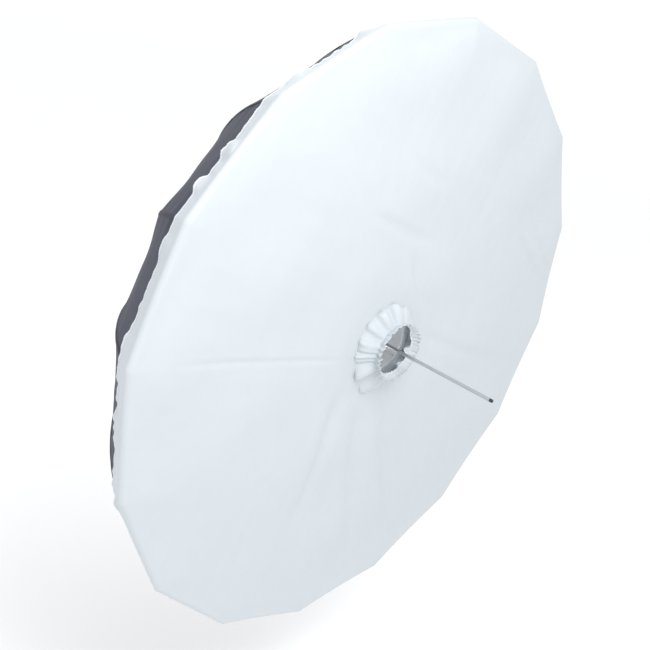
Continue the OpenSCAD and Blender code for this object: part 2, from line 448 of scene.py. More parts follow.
@dataclass(frozen=True)
class Plated(Finish):
    """Plated or drawn metal with fine marks along the shaft.

    Attributes:
        name: The material's name.
        colour: Colour of the metal.
        rough: Lowest roughness.
        marks: How much rougher the marks are.
        grain: Scale of the marks along and across the shaft.
    """

    name: str
    colour: Tuple[float, float, float]
    rough: float = 0.16
    marks: float = 0.22
    grain: Tuple[float, float, float] = (14.0, 900.0, 900.0)

    def build(self) -> bpy.types.Material:
        """Builds drawn lines, smudges and a faint tone."""
        s = Shader(self.name)
        place = s.place()
        lines = s.noise(s.stretched(place, self.grain), 1.0, 2.0)
        smudge = s.noise(place, 45.0, 4.0, 0.6)
        darker = tuple(c * 0.82 for c in self.colour)
        return s.finish(
            Base_Color=s.shades((lines * 0.4 + smudge * 0.6).clamped(), darker, self.colour),
            Metallic=1.0,
            Roughness=(lines * (self.marks * 0.6) + smudge * (self.marks * 0.4) + self.rough),
            Normal=s.bump(lines, 0.15, 0.02 * MM),
        )


@dataclass(frozen=True)
class Moulded(Finish):
    """Moulded plastic with a fine spark grain and a little handling polish.

    Attributes:
        name: The material's name.
        colour: Its colour.
        rough: Roughness in the middle of its range.
        grain: Height of the grain.
    """

    name: str
    colour: Tuple[float, float, float]
    rough: float = 0.45
    grain: float = 0.05 * MM

    def build(self) -> bpy.types.Material:
        """Builds the grain and the polish."""
        s = Shader(self.name)
        place = s.place()
        spark = s.node("ShaderNodeTexVoronoi", None, place, None, 1400.0)
        tone = s.noise(place, 60.0, 4.0, 0.6)
        lighter = tuple(c * 1.5 + 0.006 for c in self.colour)
        return s.finish(
            Base_Color=s.shades(tone, self.colour, lighter),
            Roughness=(tone * 0.2 + (self.rough - 0.1)),
            Normal=s.bump(spark, 0.3, self.grain),
        )


@dataclass(frozen=True)
class Fibreglass(Finish):
    """A rib: an off-white rod with long fibres, and plated fittings at root, bracket and tip.

    Attributes:
        name: The material's name.
        rod: Colour of the rod.
        metal: Colour of the fittings.
        root_to: Length from the crown that the root socket covers.
        bracket_at: Length from the crown to the bracket's middle.
        bracket_half: Half the bracket's length.
        tip_from: Length of the tip cap.
    """

    name: str = "rib_fibreglass"
    rod: Tuple[float, float, float] = (0.74, 0.73, 0.66)
    metal: Tuple[float, float, float] = (0.66, 0.67, 0.69)
    root_to: float = 46.2 * MM
    bracket_at: float = 300 * MM
    bracket_half: float = 8.2 * MM
    tip_from: float = 12.2 * MM

    def build(self) -> bpy.types.Material:
        """Builds the fibres, and the fittings by their place along the arc."""
        s = Shader(self.name)
        place = s.place()
        x, y, z = s.parts(place)
        out = (y * y + z * z) ** 0.5
        angle = out.math("ARCTAN2", out, ARC.centre_x - x)
        along = angle * ARC.radius
        root = along.below(self.root_to)
        bracket = abs(along - self.bracket_at).below(self.bracket_half)
        tip = (ARC.tip_angle * ARC.radius - along).below(self.tip_from)
        fitting = (root + bracket + tip).clamped()
        fibres = s.noise(s.stretched(place, (60.0, 60.0, 60.0)), 9.0, 4.0, 0.7)
        dusk = tuple(c * 0.78 for c in self.rod)
        glass = s.shades(fibres, dusk, self.rod)
        steel = s.shades(fibres, tuple(c * 0.8 for c in self.metal), self.metal)
        return s.finish(
            Base_Color=s.mixed(fitting, glass, steel),
            Metallic=fitting,
            Roughness=(0.42 - fitting * 0.16 + fibres * 0.12),
            Normal=s.bump(fibres, 0.25, 0.05 * MM),
        )


@dataclass(frozen=True)
class Ground(Finish):
    """Plain pale studio floor."""

    name: str = "studio_floor"
    colour: Tuple[float, float, float] = (0.97, 0.97, 0.97)

    def build(self) -> bpy.types.Material:
        """Builds a matt surface."""
        return Shader(self.name).finish(Base_Color=(*self.colour, 1.0), Roughness=0.95)


CANOPY_CLOTH = Cloth(
    "canopy_outer",
    dark=(0.042, 0.047, 0.064),
    light=(0.072, 0.080, 0.106),
    weave=0.35,
    rough=0.62,
    sheen=0.0,
    shine=0.16,
)
LINING_CLOTH = Cloth("canopy_lining", (0.70, 0.71, 0.73), (0.86, 0.87, 0.88), rough=0.45)
SEAM_TAPE = Cloth(
    "seam_tape",
    dark=(0.022, 0.025, 0.034),
    light=(0.048, 0.054, 0.072),
    thread=0.7 * MM,
    weave=0.5,
    sheen=0.0,
    shine=0.16,
)
COVER_CLOTH = Cloth(
    "cover_cloth",
    dark=(0.51, 0.55, 0.58),
    light=(0.59, 0.635, 0.66),
    thread=0.8 * MM,
    weave=0.12,
    rough=0.62,
)
ELASTIC = Cloth(
    "elastic_hem",
    dark=(0.58, 0.60, 0.66),
    light=(0.72, 0.74, 0.79),
    thread=1.1 * MM,
    weave=0.5,
    crease=1 * MM,
)
DARK_THREAD = Moulded("dark_thread", (0.055, 0.06, 0.075), rough=0.6)
PALE_THREAD = Moulded("pale_thread", (0.44, 0.455, 0.49), rough=0.6)
SHAFT_STEEL = Plated("shaft_steel", (0.60, 0.61, 0.63), rough=0.2)
ZINC = Plated("zinc_plate", (0.66, 0.67, 0.70), rough=0.28, marks=0.25, grain=(120.0, 120.0, 120.0))
WIRE = Plated("spring_wire", (0.62, 0.63, 0.65), rough=0.2, grain=(300.0, 300.0, 300.0))
BLACK_PLASTIC = Moulded("black_plastic", (0.018, 0.019, 0.022))
BUTTON_GREY = Moulded("button_grey", (0.20, 0.21, 0.23), rough=0.4)


# ---------------------------------------------------------------- mesh helpers


class Ripples:
    """Smooth irregular waves over two coordinates, the same on every run."""

    def __init__(
        self, seed: int, lengths: Tuple[float, float], count: int, lean: float = 1.0
    ) -> None:
        """Chooses the waves.

        Args:
            seed: Seed of the choice.
            lengths: Shortest and longest wavelength.
            count: Number of waves.
            lean: How much less the waves change along the first coordinate.
        """
        dice = np.random.default_rng(seed)
        length = dice.uniform(*lengths, count)
        heading = dice.uniform(0, math.pi, count)
        self.first = TAU / length * np.cos(heading) * lean
        self.second = TAU / length * np.sin(heading)
        self.shift = dice.uniform(0, TAU, count)
        self.share = 1 / math.sqrt(count)

    def at(self, a: Array, b: Array) -> Array:
        """Height at these coordinates, mostly from -1 to 1."""
        total = np.zeros(np.broadcast(a, b).shape)
        for p, q, shift in zip(self.first, self.second, self.shift):
            total += np.sin(p * a + q * b + shift)
        return total * self.share


def smooth_step(t: Array) -> Array:
    """Eases from 0 to 1 as t does."""
    t = np.clip(t, 0.0, 1.0)
    return t * t * (3 - 2 * t)


def grid_normals(points: Array) -> Array:
    """Unit normals of a grid of points that closes on itself round its columns.

    Args:
        points: Rows by columns by 3.

    Returns:
        The normals, of the same shape.
    """
    down = np.gradient(points, axis=0)
    across = np.roll(points, -1, axis=1) - np.roll(points, 1, axis=1)
    normal = np.cross(down, across)
    return normal / np.maximum(np.linalg.norm(normal, axis=2, keepdims=True), 1e-12)


def shell_faces(rows: int, columns: int, flip: bool) -> Tuple[Array, Array, Array]:
    """Faces of a closed shell between an upper grid of points and a lower one after it.

    Args:
        rows: Rows of points in a grid.
        columns: Columns of points in a grid.
        flip: Whether rows crossed with columns point to the lower grid.

    Returns:
        Faces of the upper grid, of the lower grid and of the walls between their edges.
    """
    size = rows * columns
    index = np.arange(size).reshape(rows, columns)
    corners = [index[:-1, :-1], index[1:, :-1], index[1:, 1:], index[:-1, 1:]]
    upper = np.stack(corners, -1).reshape(-1, 4)
    edge = np.concatenate([index[:-1, 0], index[-1, :-1], index[:0:-1, -1], index[0, :0:-1]])
    ahead = np.roll(edge, -1)
    walls = np.stack([ahead, edge, edge + size, ahead + size], -1)
    if flip:
        upper, walls = upper[:, ::-1], walls[:, ::-1]
    return upper, upper[:, ::-1] + size, walls


class Sheet:
    """A ring of cloth with a thickness, cut into patches that meet exactly.

    Its columns run round the shaft and its rows away from the first edge. All patches share the
    whole ring's points and normals, so that no join shows while the reflector is open.
    """

    def __init__(self, points: Array, thickness: float, flip: bool = False) -> None:
        """Keeps the ring.

        Args:
            points: Middle surface, rows by columns by 3.
            thickness: The cloth's thickness.
            flip: Whether rows crossed with columns point to the cloth's inner side.
        """
        self.points = points
        self.normals = grid_normals(points) * (-1.0 if flip else 1.0)
        self.flip = flip
        self.thickness = thickness

    def patch(
        self, name: str, rows: Tuple[int, int], columns: Tuple[int, int], *finishes: Finish
    ) -> bpy.types.Object:
        """Makes one patch, closed all round.

        Args:
            name: The piece's name.
            rows: First and last row.
            columns: First and last column, which may pass either end of the ring.
            finishes: The outer side's finish, then the inner side's if it differs.

        Returns:
            The piece.
        """
        row = np.arange(rows[0], rows[1] + 1)
        column = np.arange(columns[0], columns[1] + 1)
        pick = np.ix_(row, column % self.points.shape[1])
        middle, normal = self.points[pick], self.normals[pick]
        n, m = len(row), len(column)
        half = normal * self.thickness / 2
        points = np.concatenate([(middle + half).reshape(-1, 3), (middle - half).reshape(-1, 3)])
        outer, inner, walls = shell_faces(n, m, self.flip)
        piece = mesh_piece(name, points, np.concatenate([outer, inner, walls]).tolist(), *finishes)
        mesh = piece.data
        if len(finishes) > 1:
            side = np.repeat([0, 1, 0], [len(outer), len(inner), len(walls)])
            mesh.polygons.foreach_set("material_index", side)
        along, over = self._cloth_lengths(middle)
        lay_uv(mesh, np.tile(along.ravel(), 2), np.tile(over.ravel(), 2))
        flat = normal.reshape(-1, 3)
        worked_out = np.zeros((walls.size, 3))
        loop_normals = [flat[outer.ravel()], -flat[inner.ravel() - n * m], worked_out]
        mesh.normals_split_custom_set(np.concatenate(loop_normals).tolist())
        return piece

    @staticmethod
    def _cloth_lengths(middle: Array) -> Tuple[Array, Array]:
        """Each point's length along the rows, and across from the patch's middle column.

        Args:
            middle: Middle surface of the patch, rows by columns by 3.

        Returns:
            Both lengths, rows by columns.
        """
        steps = np.linalg.norm(np.diff(middle, axis=0), axis=2).mean(axis=1)
        along = np.concatenate([[0.0], np.cumsum(steps)])[:, None].repeat(middle.shape[1], 1)
        gaps = np.linalg.norm(np.diff(middle, axis=1), axis=2)
        across = np.concatenate([np.zeros((len(gaps), 1)), np.cumsum(gaps, axis=1)], axis=1)
        return along, across - across[:, middle.shape[1] // 2][:, None]


def lay_uv(mesh: bpy.types.Mesh, u: Array, v: Array) -> None:
    """Writes the UV map from one pair for each point.

    Args:
        mesh: The mesh.
        u: First coordinate of each point.
        v: Second coordinate of each point.
    """
    corners = np.zeros(len(mesh.loops), int)
    mesh.loops.foreach_get("vertex_index", corners)
    layer = mesh.uv_layers.new(name="cloth")
    pairs = np.stack([u[corners], v[corners]], -1)
    layer.data.foreach_set("uv", pairs.astype(np.float32).ravel())


def mesh_piece(
    name: str, points: Array, faces: Sequence[Sequence[int]], *finishes: Finish
) -> bpy.types.Object:
    """Makes a smooth mesh object from points and faces and dresses it.

    Args:
        name: The piece's name.
        points: Its points, one to a row.
        faces: Point numbers of each face.
        finishes: Its finishes, one for each slot.

    Returns:
        The piece.
    """
    mesh = bpy.data.meshes.new(name)
    mesh.from_pydata(points.tolist(), [], faces)
    mesh.polygons.foreach_set("use_smooth", np.ones(len(mesh.polygons), bool))
    piece = bpy.data.objects.new(name, mesh)
    bpy.context.scene.collection.objects.link(piece)
    for finish in finishes:
        mesh.materials.append(finish.material())
    mesh.update()
    return piece


def swept_tube(
    name: str,
    path: Array,
    radii: Array,
    sides: int,
    finish: Finish,
    flatten: float = 1.0,
    never_along: Tuple[float, float, float] = (1.0, 0.0, 0.0),
) -> bpy.types.Object:
    """A tube with closed ends along a path.

    Args:
        name: The piece's name.
        path: Points along its middle line.
        radii: Its radius at each point.
        sides: Number of sides.
        finish: Its finish.
        flatten: Its height off the cloth as a share of its width.
        never_along: A direction that the path never takes.

    Returns:
        The piece.
    """
    ahead = np.gradient(path, axis=0)
    ahead /= np.linalg.norm(ahead, axis=1, keepdims=True)
    side = np.cross(ahead, np.array(never_along))
    side /= np.linalg.norm(side, axis=1, keepdims=True)
    up = np.cross(side, ahead)
    turn = np.arange(sides) * TAU / sides
    ring = side[:, None] * np.cos(turn)[None, :, None] * flatten
    ring = ring + up[:, None] * np.sin(turn)[None, :, None]
    points = (path[:, None] + ring * radii[:, None, None]).reshape(-1, 3)
    n = len(path)
    i, j = np.meshgrid(np.arange(n - 1), np.arange(sides), indexing="ij")
    a, b = i * sides + j, i * sides + (j + 1) % sides
    quads = np.stack([a, a + sides, b + sides, b], -1).reshape(-1, 4).tolist()
    caps = [list(range(sides)), list(range((n - 1) * sides, n * sides))[::-1]]
    piece = mesh_piece(name, points, quads + caps, finish)
    lengths = np.concatenate([[0.0], np.cumsum(np.linalg.norm(np.diff(path, axis=0), axis=1))])
    lay_uv(piece.data, np.repeat(lengths, sides), (turn[None, :] * radii[:, None]).ravel())
    return piece


class StitchLine:
    """Geometry nodes that lay a row of stitches along a path."""

    SEED = 16
    SIZES = {"Spacing": 5 * MM, "Length": 3.6 * MM, "Width": 0.7 * MM, "Slack": 0.1}

    def __init__(self, name: str, finish: Finish) -> None:
        """Builds the tree with its named inputs: Spacing, Length, Width and Slack."""
        self.tree = bpy.data.node_groups.new(name, "GeometryNodeTree")
        self.finish = finish
        face = self.tree.interface
        face.new_socket("Geometry", in_out="INPUT", socket_type="NodeSocketGeometry")
        for label, size in self.SIZES.items():
            socket = face.new_socket(label, in_out="INPUT", socket_type="NodeSocketFloat")
            socket.default_value = size
        face.new_socket("Geometry", in_out="OUTPUT", socket_type="NodeSocketGeometry")
        self._build()

    def _add(self, kind: str, settings: Optional[Dict[str, Any]] = None, **inputs: Any) -> Any:
        """Adds a node, sets its properties and feeds its inputs.

        Args:
            kind: The node's type.
            settings: Its properties, set first.
            inputs: Values or sockets by input name, with _ for a space.

        Returns:
            The node.
        """
        made = self.tree.nodes.new(kind)
        for key, setting in (settings or {}).items():
            setattr(made, key, setting)
        for key, value in inputs.items():
            socket = made.inputs[key.replace("_", " ")]
            if isinstance(value, bpy.types.NodeSocket):
                self.tree.links.new(value, socket)
            else:
                socket.default_value = value
        return made

    def _build(self) -> None:
        """Joins the nodes: path, even points, one stitch on each, turned along the path."""
        group = self._add("NodeGroupInput")
        curve = self._add("GeometryNodeMeshToCurve", None, Mesh=group.outputs["Geometry"])
        even = self._add(
            "GeometryNodeResampleCurve", {"mode": "LENGTH"}, Curve=curve.outputs["Curve"]
        )
        self.tree.links.new(group.outputs["Spacing"], even.inputs["Length"])
        tangent = self._add("GeometryNodeInputTangent")
        turn = self._add(
            "FunctionNodeAlignRotationToVector", {"axis": "X"}, Vector=tangent.outputs["Tangent"]
        )
        bead = self._add("GeometryNodeMeshIcoSphere", None, Radius=0.5, Subdivisions=1)
        length, width = group.outputs["Length"], group.outputs["Width"]
        size = self._add("ShaderNodeCombineXYZ", None, X=length, Y=width, Z=width)
        uneven = self._add("FunctionNodeRandomValue", {"data_type": "FLOAT"})
        low = self._add("ShaderNodeMath", {"operation": "SUBTRACT"})
        low.inputs[0].default_value = 1.0
        self.tree.links.new(group.outputs["Slack"], low.inputs[1])
        floats = [i for i in uneven.inputs if i.type == "VALUE"]
        self.tree.links.new(low.outputs[0], floats[0])
        floats[1].default_value = 1.0
        uneven.inputs["Seed"].default_value = self.SEED
        picked = [o for o in uneven.outputs if o.type == "VALUE"][0]
        scale = self._add(
            "ShaderNodeVectorMath", {"operation": "SCALE"}, Vector=size.outputs["Vector"]
        )
        self.tree.links.new(picked, scale.inputs["Scale"])
        laid = self._add(
            "GeometryNodeInstanceOnPoints",
            None,
            Points=even.outputs["Curve"],
            Instance=bead.outputs["Mesh"],
            Rotation=turn.outputs["Rotation"],
            Scale=scale.outputs["Vector"],
        )
        real = self._add("GeometryNodeRealizeInstances", None, Geometry=laid.outputs["Instances"])
        smooth = self._add("GeometryNodeSetShadeSmooth", None, Geometry=real.outputs["Geometry"])
        dressed = self._add("GeometryNodeSetMaterial", None, Geometry=smooth.outputs["Geometry"])
        dressed.inputs["Material"].default_value = self.finish.material()
        out = self._add("NodeGroupOutput")
        self.tree.links.new(dressed.outputs["Geometry"], out.inputs["Geometry"])

    def lay(self, name: str, paths: Sequence[Array], **sizes: float) -> bpy.types.Object:
        """Lays stitches along the paths and returns them as one plain mesh piece.

        Args:
            name: The piece's name.
            paths: Points of each path.
            sizes: The tree's named inputs that differ from their own values.

        Returns:
            The piece.
        """
        points = np.concatenate(paths)
        edges: List[Tuple[int, int]] = []
        start = 0
        for path in paths:
            edges += [(start + i, start + i + 1) for i in range(len(path) - 1)]
            start += len(path)
        mesh = bpy.data.meshes.new(name + "_path")
        mesh.from_pydata(points.tolist(), edges, [])
        guide = bpy.data.objects.new(name + "_path", mesh)
        bpy.context.scene.collection.objects.link(guide)
        modifier = guide.modifiers.new("stitches", "NODES")
        modifier.node_group = self.tree
        for item in self.tree.interface.items_tree:
            if item.item_type == "SOCKET" and item.in_out == "INPUT" and item.name in sizes:
                modifier[item.identifier] = sizes[item.name]
        graph = bpy.context.evaluated_depsgraph_get()
        plain = bpy.data.meshes.new_from_object(guide.evaluated_get(graph))
        plain.name = name
        bpy.data.objects.remove(guide)
        piece = bpy.data.objects.new(name, plain)
        bpy.context.scene.collection.objects.link(piece)
        if not plain.materials:
            plain.materials.append(self.finish.material())
        return piece


# ---------------------------------------------------------------- hardware


def dress_node(node: str, finish: Finish) -> None:
    """Puts a finish on a part of the frame, in every slot that it has.

    Args:
        node: The part's name in the frame.
        finish: Its finish.
    """
    part = frame["nodes"][node]
    if not part.data.materials:
        part.data.materials.append(finish.material())
    for slot in part.material_slots:
        slot.material = finish.material()


class Hardware(Enum):
    """The frame's own hard parts, each with the finish that it gets."""

    SHAFT = ("shaft", SHAFT_STEEL)
    END_CAP = ("shaft_end_cap", BLACK_PLASTIC)
    CROWN = ("crown", BLACK_PLASTIC)
    CROWN_RING = ("crown_ring", WIRE)
    CROWN_CAP = ("crown_cap", BLACK_PLASTIC)
    RUNNER = ("runner", BLACK_PLASTIC)
    RUNNER_RING = ("runner_ring", WIRE)
    BUTTON = ("release_button", BUTTON_GREY)

    def dress(self) -> None:
        """Puts the finish on the part."""
        node, finish = self.value
        dress_node(node, finish)


@dataclass
class Linkage:
    """The frame's ribs and stretchers."""

    rib: Finish = Fibreglass()
    stretcher: Finish = ZINC

    def dress(self) -> int:
        """Dresses every rib and stretcher, and returns how many there are."""
        for k in range(1, ARC.count + 1):
            dress_node(rib_name("rib", k), self.rib)
            dress_node(rib_name("stretcher", k), self.stretcher)
        return 2 * ARC.count


@dataclass
class ButtonCoil:
    """The coil spring under the release button.

    Attributes:
        wire_r: Radius of its wire.
        turns: Number of turns.
        closed_share: Share of its height that it keeps under a pressed button. Not used.
    """

    wire_r: float = 0.35 * MM
    turns: int = 3
    closed_share: float = 0.30

    def build(self) -> bpy.types.Object:
        """Winds the coil in the room of the frame's own spring."""
        low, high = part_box("button_spring")
        t = np.linspace(0, 1, 40 * self.turns + 1)
        turn = TAU * self.turns * t
        coil_r = (high.y - low.y) / 2 - self.wire_r
        z = low.z + self.wire_r + (high.z - low.z - 2 * self.wire_r) * t
        x = (low.x + high.x) / 2 + coil_r * np.cos(turn)
        path = np.stack([x, coil_r * np.sin(turn), z], -1)
        radii = np.full(len(t), self.wire_r)
        coil = swept_tube("button_coil", path, radii, 10, WIRE, never_along=(0.0, 0.0, 1.0))
        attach(coil, "runner")
        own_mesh(coil)
        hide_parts("button_spring")
        return coil


# ---------------------------------------------------------------- canopy


def gore_angles(per_gore: int) -> Tuple[Array, Array]:
    """Columns round the shaft.

    Args:
        per_gore: Number of columns for each gore.

    Returns:
        Each column's angle from the top rib, and its angle from the nearest rib.
    """
    angle = np.arange(ARC.count * per_gore) * ARC.pitch / per_gore
    near = angle - np.round(angle / ARC.pitch) * ARC.pitch
    return angle, np.abs(near)


def gore_belly(near: Array) -> Array:
    """From 0 at a rib to 1 half way to the next, as cloth held on two ribs sags."""
    half = ARC.pitch / 2
    return 1 - ((half - near) / half) ** 2


def chord_share(near: Array) -> Array:
    """How far out the straight line between two ribs lies, as a share of the ribs' distance."""
    half = ARC.pitch / 2
    return math.cos(half) / np.cos(half - near)


def on_ring(x: Array, r: Array, angle: Array) -> Array:
    """Points at a place along the shaft, a distance from it and an angle round it.

    Args:
        x: Place along the shaft.
        r: Distance from it.
        angle: Angle round it from the top rib.

    Returns:
        The points, in the broadcast shape by 3.
    """
    x, r, angle = np.broadcast_arrays(x, r, angle)
    return np.stack([x, -r * np.sin(angle), r * np.cos(angle)], -1)


@dataclass
class Canopy:
    """The dark canopy with its pale lining, in gores centred on the ribs.

    Attributes:
        off: How far the cloth's middle stands outside the rods' middle line.
        thickness: Thickness of the cloth with its lining.
        inner_r: Radius of the hole at the crown.
        tip_free: Length of rib beyond the cloth.
        scallop: How far the hem curves in between two ribs.
        sag: How far the cloth hangs in between two ribs.
        slack: Depth of the uneven slack between two ribs.
        fan: Depth of the small folds that fan out at the hem.
        pucker: Depth of the puckers beside a seam.
        clear: Distance from a rib within which the cloth doesn't sag.
        rows: Rows from the crown to the hem.
        per_gore: Columns in a gore.
        bands: Shares of the length where a gore's bands end.
        seam_w: Width of the seam tape over a rib.
    """

    off: float = 3.8 * MM
    thickness: float = 0.8 * MM
    inner_r: float = 24 * MM
    tip_free: float = 6 * MM
    scallop: float = 9 * MM
    sag: float = 6 * MM
    slack: float = 2.4 * MM
    fan: float = 1.4 * MM
    pucker: float = 1.3 * MM
    clear: float = 14 * MM
    rows: int = 120
    per_gore: int = 32
    bands: Tuple[float, ...] = (0.0, 0.25, 0.42, 0.54, 0.65, 0.75, 0.84, 0.92, 1.0)
    seam_w: float = 11 * MM

    def length(self) -> float:
        """Length of cloth from the hole at the crown to a rib's tip."""
        start = math.asin(self.inner_r / ARC.radius)
        return (ARC.tip_angle - start) * ARC.radius

    def surface(self) -> Sheet:
        """The whole canopy, with its sag and its small tension folds."""
        angle, near = gore_angles(self.per_gore)
        share = np.linspace(0, 1, self.rows + 1)[:, None]
        belly = gore_belly(near)[None, :]
        hem = self.tip_free + self.scallop * belly
        back = self.length() + (hem - self.length()) * share
        x, r = ARC.on_shell(np.array(self.off), back)
        r = r * chord_share(near)[None, :]
        middle = np.sin(math.pi * share) ** 0.7
        slack = Ripples(5, (0.10, 0.30), 9).at(share * 0.9, angle * 0.5)
        fans = np.sin(near * 62 + 5 * share) * np.exp(-((1 - share) / 0.16) ** 2) * belly ** 0.5
        aside = np.minimum(near[None, :] * r, 1.0)
        pucker = Ripples(6, (0.028, 0.06), 9).at(share * self.length(), angle[None, :] * 0.12)
        pucker = pucker * np.exp(-aside / (38 * MM)) * smooth_step(aside / (9 * MM))
        pucker = pucker * smooth_step(share / 0.1)
        depth = belly * (self.sag * middle + self.slack * slack * middle + self.fan * fans)
        depth = (depth + self.pucker * (pucker + abs(pucker))) * smooth_step(aside / self.clear)
        tilt = ARC.tip_angle - back / ARC.radius
        x, r = x + depth * np.cos(tilt), r - depth * np.sin(tilt)
        return Sheet(on_ring(x, r, angle[None, :]), self.thickness, flip=True)

    def build(self) -> List[bpy.types.Object]:
        """Cuts the gores into bands and hangs each on its rib."""
        sheet = self.surface()
        half = self.per_gore // 2
        pieces = []
        for k in range(1, ARC.count + 1):
            centre = (k - 1) * self.per_gore
            for band, (a, b) in enumerate(zip(self.bands, self.bands[1:]), start=1):
                rows = (round(a * self.rows), round(b * self.rows))
                name = f"{rib_name('canopy_gore', k)}_{band}"
                columns = (centre - half, centre + half)
                piece = sheet.patch(name, rows, columns, CANOPY_CLOTH, LINING_CLOTH)
                keep = ARC.folded_share(self.length() * (1 - a * 0.85 - b * 0.15))
                hang_on_rib(piece, k)
                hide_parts(rib_name("canopy", k))
                pieces.append(piece)
        return pieces

    def seam_path(self, lift: float, aside: float) -> Array:
        """A line along the top rib's seam, lifted off the rods and set to one side.

        Args:
            lift: Height above the cloth's middle.
            aside: Distance to the side.

        Returns:
            Points of the line.
        """
        back = np.linspace(self.length() - 12 * MM, self.tip_free + 1 * MM, 120)
        x, r = ARC.on_shell(np.array(self.off + lift), back)
        drop = abs(aside) * math.tan(ARC.pitch / 2) * np.sin(ARC.tip_angle - back / ARC.radius)
        return np.stack([x, np.full_like(x, aside), r - drop], -1)

    def seams(self, stitches: StitchLine) -> List[bpy.types.Object]:
        """Lays a folded tape over every rib, with two rows of stitches.

        Args:
            stitches: The tree that lays the thread.

        Returns:
            The tapes and threads.
        """
        pieces = []
        across = np.linspace(-1, 1, 9) * self.seam_w / 2
        crown = self.thickness / 2 + 0.15 * MM
        lifts = crown + 0.8 * MM * (1 - (2 * across / self.seam_w) ** 4)
        top = np.stack([self.seam_path(lift, w) for lift, w in zip(lifts, across)], 1)
        low = np.stack([self.seam_path(self.thickness / 2 - 0.1 * MM, w) for w in across], 1)
        top[:, :, 2] += 0.15 * MM * np.sin(np.arange(len(top)) * 0.9)[:, None]
        rows = [self.seam_path(crown + 0.85 * MM, w * self.seam_w) for w in (-0.3, 0.3)]
        sizes = {"Spacing": 6 * MM, "Length": 4.2 * MM, "Width": 0.8 * MM}
        for k in range(1, ARC.count + 1):
            tape = closed_strip(rib_name("canopy_seam", k), top, low, SEAM_TAPE)
            thread = stitches.lay(rib_name("canopy_stitches", k), rows, **sizes)
            turn = Matrix.Rotation(ARC.pitch * (k - 1), 4, "X")
            for piece in (tape, thread):
                piece.data.transform(turn)
                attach(piece, rib_name("rib", k))
                pieces.append(piece)
        return pieces


def closed_strip(name: str, top: Array, low: Array, finish: Finish) -> bpy.types.Object:
    """A closed strip between an upper and a lower grid of points.

    Args:
        name: The piece's name.
        top: Upper grid, rows by columns by 3.
        low: Lower grid of the same shape.
        finish: Its finish.

    Returns:
        The piece.
    """
    n, m = top.shape[:2]
    points = np.concatenate([top.reshape(-1, 3), low.reshape(-1, 3)])
    faces = np.concatenate(shell_faces(n, m, flip=True))
    piece = mesh_piece(name, points, faces.tolist(), finish)
    steps = np.linalg.norm(np.diff(top[:, m // 2], axis=0), axis=1)
    along = np.concatenate([[0.0], np.cumsum(steps)])
    lay_uv(piece.data, np.tile(np.repeat(along, m), 2), np.tile(top[:, :, 1].ravel(), 2))
    return piece


def hang_on_rib(piece: bpy.types.Object, k: int) -> None:
    """Makes a soft piece follow rib k.

    Args:
        piece: The piece.
        k: Number of the rib.
    """
    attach(piece, rib_name("rib", k))
    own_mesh(piece)


# ---------------------------------------------------------------- cover


def draw_in(piece: bpy.types.Object) -> None:
    """Makes a wedge follow the runner.

    Args:
        piece: The wedge.
    """
    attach(piece, "runner")
    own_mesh(piece)


@dataclass(frozen=True)
class Crease:
    """A long shallow fold in the front of the cover.

    Attributes:
        start: One end, across (Y) and up (Z) from the shaft.
        end: The other end.
        depth: How far it stands in.
        width: Half its width.
    """

    start: Tuple[float, float]
    end: Tuple[float, float]
    depth: float
    width: float

    def at(self, y: Array, z: Array) -> Array:
        """How far the fold stands in at these points.

        Args:
            y: Their place across from the shaft.
            z: Their place up from the shaft.

        Returns:
            The depth at each point.
        """
        a, b = np.array(self.start), np.array(self.end)
        length = float(np.linalg.norm(b - a))
        ahead = (b - a) / length
        along = (y - a[0]) * ahead[0] + (z - a[1]) * ahead[1]
        aside = (z - a[1]) * ahead[0] - (y - a[0]) * ahead[1]
        fade = 0.25 * length
        ends = smooth_step(along / fade) * smooth_step((length - along) / fade)
        hollow = np.exp(-((aside / self.width) ** 2))
        banks = 0.5 * np.exp(-((aside / self.width / 2) ** 2))
        return self.depth * ends * (hollow - banks)


SHEET_CREASES = (
    Crease((-0.69, 0.010), (-0.09, -0.036), 3.0 * MM, 8 * MM),
    Crease((-0.10, -0.09), (-0.12, -0.47), 11.0 * MM, 26 * MM),
    Crease((-0.03, -0.13), (0.14, -0.64), 13.0 * MM, 30 * MM),
    Crease((0.06, -0.14), (0.31, -0.62), 11.0 * MM, 24 * MM),
    Crease((-0.09, 0.45), (0.07, 0.38), 6.0 * MM, 12 * MM),
    Crease((-0.19, 0.32), (0.09, 0.24), 6.0 * MM, 13 * MM),
    Crease((0.02, 0.23), (0.12, 0.07), 7.0 * MM, 15 * MM),
    Crease((0.47, 0.27), (0.67, 0.13), 7.0 * MM, 12 * MM),
    Crease((0.54, 0.28), (0.71, 0.15), 5.0 * MM, 10 * MM),
    Crease((0.10, 0.02), (0.60, -0.12), 7.0 * MM, 20 * MM),
)


